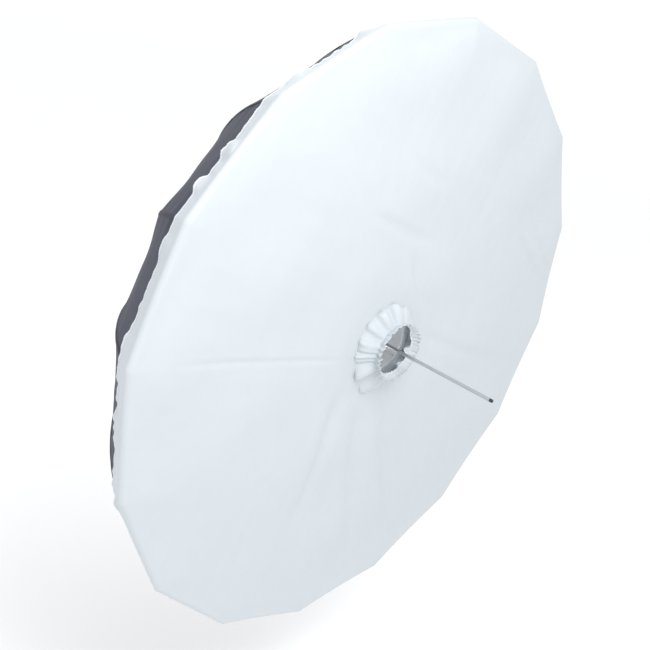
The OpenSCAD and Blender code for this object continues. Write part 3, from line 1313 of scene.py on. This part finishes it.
@dataclass
class Cover:
    """The pale cover: flat front, band round the rim, elastic hem and gathered collar.

    Attributes:
        thickness: The cloth's thickness.
        front_x: Place of the front along the shaft.
        hole_r: Radius of the hole under the collar.
        bend_r: Radius of the bend round the rim.
        reach: How far the cover stands outside the rib tips.
        band_l: Length of the band from the rim back to the hem, at a rib.
        band_off: How far the band's middle stands outside the rods' middle line.
        front_rows: Rows in the front.
        bend_rows: Rows in the bend.
        band_rows: Rows in the band.
        per_gore: Columns in a gore.
        wedges: Wedges that the front is cut into, for each gore.
        closed_share: Share of its size that the front keeps when closed. Not used.
        rise: How far the collar pulls the front forward at its hole.
        drop: How far the rim bows back between two ribs.
        wave: Height of the front's long soft waves.
        ripple: Height of its small ones.
        pull: Height of the folds that the ribs pull at the rim.
        slack: How far the band stands off the canopy at its hem.
        creases: Long folds in the front.
    """

    thickness: float = 0.7 * MM
    front_x: float = 0.0
    hole_r: float = 66 * MM
    bend_r: float = 11 * MM
    reach: float = 6.6 * MM
    band_l: float = 56 * MM
    band_off: float = 6.0 * MM
    front_rows: int = 64
    bend_rows: int = 8
    band_rows: int = 26
    per_gore: int = 48
    wedges: int = 3
    closed_share: float = 0.09
    rise: float = 9 * MM
    drop: float = 3 * MM
    wave: float = 2.6 * MM
    ripple: float = 0.35 * MM
    pull: float = 2.2 * MM
    slack: float = 2.6 * MM
    creases: Tuple[Crease, ...] = SHEET_CREASES

    def front(self, near: Array, angle: Array) -> Array:
        """Rows of the flat front, from the collar's hole to the bend.

        Args:
            near: Each column's angle from the nearest rib.
            angle: Each column's angle from the top rib.

        Returns:
            The points, rows by columns by 3.
        """
        t = np.linspace(0, 1, self.front_rows)[:, None] ** 0.92
        edge_r = ARC.rim_r + self.reach - self.bend_r
        r = self.hole_r + (edge_r - self.hole_r) * t
        square = smooth_step((t - 0.25) / 0.75)
        belly = gore_belly(near)[None, :]
        r = r * (1 - square + square * chord_share(near)[None, :])
        y, z = -r * np.sin(angle), r * np.cos(angle)
        rise = self.rise * np.exp(-(r - self.hole_r) / (45 * MM))
        drop = self.drop * belly * smooth_step((t - 0.84) / 0.16) ** 1.5
        wide = self.wave * Ripples(11, (0.22, 0.6), 8).at(y, z)
        small = self.ripple * Ripples(12, (0.05, 0.14), 12).at(y, z)
        pulls = self.pull * np.cos(angle * ARC.count) * smooth_step((t - 0.45) / 0.5)
        free = smooth_step(t / 0.06) * smooth_step((1 - t) / 0.05)
        folds = sum(c.at(y, z) for c in self.creases)
        x = self.front_x + rise - drop + (wide + small + pulls - folds) * free
        return on_ring(x, r, angle[None, :])

    def bend(self, last: Array, angle: Array) -> Array:
        """Rows that turn from the front round the rim, starting after its last row.

        Args:
            last: The front's last row.
            angle: Each column's angle from the top rib.

        Returns:
            The points, rows by columns by 3.
        """
        turn = np.linspace(0, math.pi / 2, self.bend_rows + 1)[1:, None]
        r = np.hypot(last[:, 1], last[:, 2])[None, :]
        x = last[:, 0][None, :] - self.bend_r * (1 - np.cos(turn))
        return on_ring(x, r + self.bend_r * np.sin(turn), angle[None, :])

    def band(self, last: Array, near: Array, angle: Array) -> Array:
        """Rows of the band that hugs the canopy behind the rim, gathered towards its hem.

        Args:
            last: The bend's last row.
            near: Each column's angle from the nearest rib.
            angle: Each column's angle from the top rib.

        Returns:
            The points, rows by columns by 3.
        """
        t = np.linspace(0, 1, self.band_rows + 1)[1:, None]
        belly = gore_belly(near)[None, :]
        uneven = Ripples(21, (0.25, 0.9), 6).at(angle, angle * 0)[None, :]
        hem = self.band_l - 7 * MM * belly + 4 * MM * uneven
        back = 3 * MM + (hem - 3 * MM) * t
        x, r = ARC.on_shell(np.array(self.band_off), back)
        r = r * chord_share(near)[None, :]
        tilt = ARC.tip_angle - back / ARC.radius
        round_rim = angle[None, :] * ARC.rim_r
        sway = Ripples(22, (0.05, 0.13), 9, lean=0.35).at(t * 0.09, round_rim)
        fine = Ripples(23, (0.018, 0.032), 9, lean=0.25).at(t * 0.09, round_rim)
        lift = self.slack * t**0.8 * (0.6 + sway) ** 2 + 1.0 * MM * t**1.5 * (0.7 + fine)
        lift = np.maximum(lift, 0) * (0.45 + 0.55 * belly)
        path = on_ring(x - lift * np.cos(tilt), r + lift * np.sin(tilt), angle[None, :])
        last_r = np.hypot(last[:, 1], last[:, 2])[None, :]
        start = on_ring(last[:, 0][None, :] - back * 0.9, last_r - back * 0.25, angle[None, :])
        join = (1 - smooth_step(t / 0.3))[..., None]
        return start * join + path * (1 - join)

    def surface(self) -> Sheet:
        """The whole cover but its collar."""
        angle, near = gore_angles(self.per_gore)
        front = self.front(near, angle)
        bend = self.bend(front[-1], angle)
        band = self.band(bend[-1], near, angle)
        return Sheet(np.concatenate([front, bend, band]), self.thickness)

    def build(self) -> List[bpy.types.Object]:
        """Cuts the cover into wedges of the front and lengths of the band, and hangs them."""
        sheet = self.surface()
        edge = self.front_rows - 1
        last = len(sheet.points) - 1
        width = self.per_gore // self.wedges
        pieces = []
        for n in range(ARC.count * self.wedges):
            first = n * width - width // 2
            name = f"cover_front_{n + 1:02d}"
            piece = sheet.patch(name, (0, edge), (first, first + width), COVER_CLOTH)
            draw_in(piece)
            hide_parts("cover_front")
            pieces.append(piece)
        half = self.per_gore // 2
        keep = ARC.folded_share(self.band_l / 2)
        for k in range(1, ARC.count + 1):
            centre = (k - 1) * self.per_gore
            span = (centre - half, centre + half)
            piece = sheet.patch(rib_name("cover_band", k), (edge, last), span, COVER_CLOTH)
            hang_on_rib(piece, k)
            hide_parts("cover_side")
            hem = self._hem(sheet, span, k)
            pieces += [piece, hem]
        return pieces

    def _hem(self, sheet: Sheet, span: Tuple[int, int], k: int) -> bpy.types.Object:
        """Makes the channel along the band's back edge, crimped by its elastic.

        Args:
            sheet: The whole cover.
            span: First and last column of this length of band.
            k: The rib that it hangs on.

        Returns:
            The piece.
        """
        columns = np.arange(span[0], span[1] + 1)
        line = sheet.points[-1, columns % sheet.points.shape[1]]
        fine = np.linspace(0, len(line) - 1, 8 * (len(line) - 1) + 1)
        path = np.stack([np.interp(fine, np.arange(len(line)), line[:, c]) for c in range(3)], -1)
        along = fine + span[0]
        crimp = 0.5 + 0.5 * np.sin(along * 8.4 + 1.3 * np.sin(along * 1.7))
        radii = (2.2 + 0.6 * crimp) * MM
        hem = swept_tube(rib_name("cover_hem", k), path, radii, 10, ELASTIC, flatten=0.75)
        hang_on_rib(hem, k)
        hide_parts("cover_side")
        return hem

    def hem_stitches(self, stitches: StitchLine) -> List[bpy.types.Object]:
        """A row of stitches that closes the elastic's channel along the hem.

        Args:
            stitches: The tree that lays the thread.

        Returns:
            The threads, one for each rib.
        """
        sheet = self.surface()
        row = len(sheet.points) - 4
        half = self.per_gore // 2
        lift = self.thickness / 2 + 0.1 * MM
        keep = ARC.folded_share(self.band_l / 2)
        sizes = {"Spacing": 6 * MM, "Length": 4 * MM, "Width": 0.7 * MM}
        pieces = []
        for k in range(1, ARC.count + 1):
            centre = (k - 1) * self.per_gore
            pick = np.arange(centre - half, centre + half + 1) % sheet.points.shape[1]
            path = sheet.points[row, pick] + sheet.normals[row, pick] * lift
            thread = stitches.lay(rib_name("cover_stitches", k), [path], **sizes)
            hang_on_rib(thread, k)
            pieces.append(thread)
        return pieces


@dataclass
class Collar:
    """The sleeve in the middle of the cover, drawn in by an elastic to grip a lamp's front.

    Attributes:
        base_x: Place of its foot along the shaft.
        length: How far it stands forward.
        foot_r: Radius where it is sewn to the cover.
        sag: How much further its foot is pulled down by the lamp's weight.
        throat_r: Radius at the elastic.
        mouth_r: Radius of the frill in front of the elastic.
        throat_at: Share of the length where the elastic lies.
        rows: Rows from foot to mouth.
        columns: Columns round it.
        thickness: The cloth's thickness.
        wedges: Wedges that it is cut into.
        closed_share: Share of its width that it keeps when the reflector is closed. Not used.
        bulge: How far it puffs out between foot and throat.
        fold: Depth of its soft folds.
        frill: Depth of the frill's pleats.
    """

    base_x: float
    length: float
    foot_r: float = 93 * MM
    sag: float = 34 * MM
    throat_r: float = 62 * MM
    mouth_r: float = 71 * MM
    throat_at: float = 0.7
    rows: int = 60
    columns: int = 640
    thickness: float = 0.7 * MM
    wedges: int = 32
    closed_share: float = 0.36
    bulge: float = 11 * MM
    fold: float = 10 * MM
    frill: float = 3.4 * MM

    def surface(self) -> Sheet:
        """The sleeve with soft folds that tighten into pleats at the elastic."""
        t = np.linspace(0, 1, self.rows)[:, None]
        angle = np.arange(self.columns)[None, :] * TAU / self.columns
        before = np.clip(t / self.throat_at, 0, 1)
        after = np.clip((t - self.throat_at) / (1 - self.throat_at), 0, 1)
        down = np.angle(np.exp(1j * (angle - math.pi)))
        foot = self.foot_r + self.sag * np.exp(-((down / 0.65) ** 2))
        bulge = self.bulge * np.sin(math.pi * before) ** 1.2
        r = foot + (self.throat_r - foot) * smooth_step(before) ** 0.9 + bulge
        r = r + (self.mouth_r - self.throat_r) * np.sin(after * math.pi / 2)
        soft = self._pleats(angle, (9, 14), 31)
        tight = self._pleats(angle, (30, 44), 32)
        body = np.sin(math.pi * before) ** 0.8 * (1 - after)
        grip = np.exp(-(((t - self.throat_at) / 0.10) ** 2))
        soft = np.sign(soft) * abs(soft) ** 0.75
        r = r + body * self.fold * soft + (body * 2.0 + grip * 1.1) * MM * tight
        r = r + after * self.frill * tight
        x = self.base_x + self.length * (t ** 1.05)
        x = x + body * 5.0 * MM * self._pleats(angle, (7, 12), 33)
        x = x + after * 2.2 * MM * self._pleats(angle, (12, 20), 34)
        return Sheet(on_ring(x, r, angle), self.thickness, flip=True)

    @staticmethod
    def _pleats(angle: Array, counts: Tuple[int, int], seed: int) -> Array:
        """Uneven pleats round the sleeve, from about -1 to 1.

        Args:
            angle: Angles round the sleeve.
            counts: Fewest and most pleats of the waves that are summed.
            seed: Seed of their heights and places.

        Returns:
            The height at each angle.
        """
        dice = np.random.default_rng(seed)
        total = np.zeros_like(angle)
        for count in range(counts[0], counts[1] + 1):
            total = total + dice.uniform(0.4, 1.0) * np.sin(count * angle + dice.uniform(0, TAU))
        return total / math.sqrt(counts[1] - counts[0] + 1) * 1.1

    def build(self) -> List[bpy.types.Object]:
        """Cuts the sleeve and its elastic into wedges that follow the runner."""
        sheet = self.surface()
        row = round(self.throat_at * (self.rows - 1))
        crest = sheet.points[row] + sheet.normals[row] * 0.3 * MM
        width = self.columns // self.wedges
        pieces = []
        for n in range(self.wedges):
            first = n * width - width // 2
            name = f"cover_collar_{n + 1:02d}"
            sleeve = sheet.patch(name, (0, self.rows - 1), (first, first + width), COVER_CLOTH)
            columns = np.arange(first, first + width + 1)
            crimp = 1.3 * MM + 0.5 * MM * np.sin(columns * TAU / 8)
            path = crest[columns % self.columns]
            elastic = swept_tube(f"cover_elastic_{n + 1:02d}", path, crimp, 8, ELASTIC)
            for piece in (sleeve, elastic):
                draw_in(piece)
                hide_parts("cover_collar")
                pieces.append(piece)
        return pieces


# ---------------------------------------------------------------- stage


@dataclass
class Studio:
    """Pale floor, soft lights and the camera.

    Attributes:
        turn: Angle from the camera's axis to the shaft, seen from above the camera.
        dip: Angle that the shaft dips in the camera's view.
        roll: Turn of the reflector about its shaft.
        distance: Distance from the camera to the rim's plane along its axis.
        aside: Place of the rim's middle right of and above the camera's axis.
        lens: Focal length on a 36 mm sensor.
        floor_drop: How far the floor lies below the reflector.
        floor_half: Half the floor's width.
        air: Colour of the light from all round.
        air_power: Strength of that light.
        inner_power: Power of the faint light inside the reflector.
    """

    turn: float = math.radians(51.4)
    dip: float = math.radians(-23.0)
    roll: float = math.radians(4.0)
    distance: float = 2.52
    aside: Tuple[float, float] = (0.128, -0.038)
    lens: float = 59.5
    floor_drop: float = 0.30
    floor_half: float = 14.0
    air: Tuple[float, float, float] = (0.985, 0.99, 1.0)
    air_power: float = 1.04
    inner_power: float = 2.5

    def axes(self) -> Matrix:
        """The camera's right, up and back directions, as the columns of a matrix."""
        n = Vector((
            math.sin(self.turn) * math.cos(self.dip),
            math.sin(self.dip),
            math.cos(self.turn) * math.cos(self.dip),
        ))
        u = Vector((0, 1, 0)).cross(n).normalized()
        v = n.cross(u)
        across = u * math.cos(self.roll) + v * math.sin(self.roll)
        upward = v * math.cos(self.roll) - u * math.sin(self.roll)
        return Matrix((n, across, upward))

    def camera(self) -> bpy.types.Object:
        """Sets the camera."""
        axes = self.axes()
        right, up, back = (axes.col[i] for i in range(3))
        middle = Vector((ARC.rim_x, 0, 0))
        data = bpy.data.cameras.new("camera")
        data.lens, data.sensor_width = self.lens, 36.0
        data.clip_start, data.clip_end = 0.05, 100.0
        camera = bpy.data.objects.new("camera", data)
        place = middle - right * self.aside[0] - up * self.aside[1] + back * self.distance
        camera.matrix_world = Matrix.Translation(place) @ axes.to_4x4()
        bpy.context.scene.collection.objects.link(camera)
        bpy.context.scene.camera = camera
        return camera

    def light(
        self,
        name: str,
        place: Tuple[float, float, float],
        size: float,
        power: float,
        colour: Tuple[float, float, float] = (1.0, 1.0, 1.0),
    ) -> None:
        """Adds a square soft light that looks at the middle of the rim.

        Args:
            name: Its name.
            place: Where it stands.
            size: Length of its side.
            power: Its power in watts.
            colour: Its colour.
        """
        data = bpy.data.lights.new(name, "AREA")
        data.shape, data.size, data.energy, data.color = "SQUARE", size, power, colour
        lamp = bpy.data.objects.new(name, data)
        middle = Vector((ARC.rim_x, 0, 0))
        lamp.location = Vector(place)
        lamp.rotation_mode = "QUATERNION"
        lamp.visible_camera = False
        lamp.rotation_quaternion = (middle - lamp.location).to_track_quat("-Z", "Y")
        bpy.context.scene.collection.objects.link(lamp)

    def _inner_light(self) -> None:
        """Adds a faint light inside, as a lamp's would be, so that the lining shows."""
        data = bpy.data.lights.new("inside", "POINT")
        data.energy, data.shadow_soft_size = self.inner_power, 0.06
        lamp = bpy.data.objects.new("inside", data)
        lamp.location = (ARC.rim_x - 0.12, 0.0, -0.12)
        lamp.visible_camera = False
        bpy.context.scene.collection.objects.link(lamp)

    def build(self) -> None:
        """Sets floor, world, lights and camera."""
        level = FRAME_BOX[0].z - self.floor_drop
        turns = ((-1, -1), (1, -1), (1, 1), (-1, 1))
        corners = np.array([[a * self.floor_half, b * self.floor_half, level] for a, b in turns])
        floor = mesh_piece("studio_floor", corners, [[0, 1, 2, 3]], Ground())
        world = bpy.data.worlds.new("studio")
        world.use_nodes = True
        backdrop = world.node_tree.nodes["Background"]
        backdrop.inputs["Color"].default_value = (*self.air, 1.0)
        backdrop.inputs["Strength"].default_value = self.air_power
        bpy.context.scene.world = world
        self.light("key", (0.95, -0.95, 1.35), 0.9, 21.0)
        self._inner_light()
        self.light("fill", (-1.2, -2.4, 0.4), 1.4, 2.0, (0.95, 0.97, 1.0))
        self.light("back", (-2.4, 0.8, 1.6), 1.2, 10.0, (0.96, 0.98, 1.0))
        self.camera()
        bpy.context.scene.view_settings.view_transform = "Standard"


def main() -> None:
    """Builds the stage and the reflector, part by part."""
    logging.basicConfig(level=logging.INFO, format="%(message)s")
    Studio().build()
    for part in Hardware:
        part.dress()
        LOG.info("dressed %s", part.value[0])
    LOG.info("dressed %d ribs and stretchers", Linkage().dress())
    LOG.info("wound %s", ButtonCoil().build().name)
    dark = StitchLine("dark_stitches", DARK_THREAD)
    pale = StitchLine("pale_stitches", PALE_THREAD)
    canopy = Canopy()
    LOG.info("canopy: %d patches", len(canopy.build()))
    LOG.info("canopy seams: %d pieces", len(canopy.seams(dark)))
    front_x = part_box("cover_front")[0].x
    cover = Cover(front_x=front_x)
    LOG.info("cover: %d patches", len(cover.build()))
    LOG.info("cover stitches: %d rows", len(cover.hem_stitches(pale)))
    collar_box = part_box("cover_collar")
    collar = Collar(base_x=collar_box[0].x, length=collar_box[1].x - collar_box[0].x)
    LOG.info("collar: %d pieces", len(collar.build()))


if __name__ == "__main__":
    main()
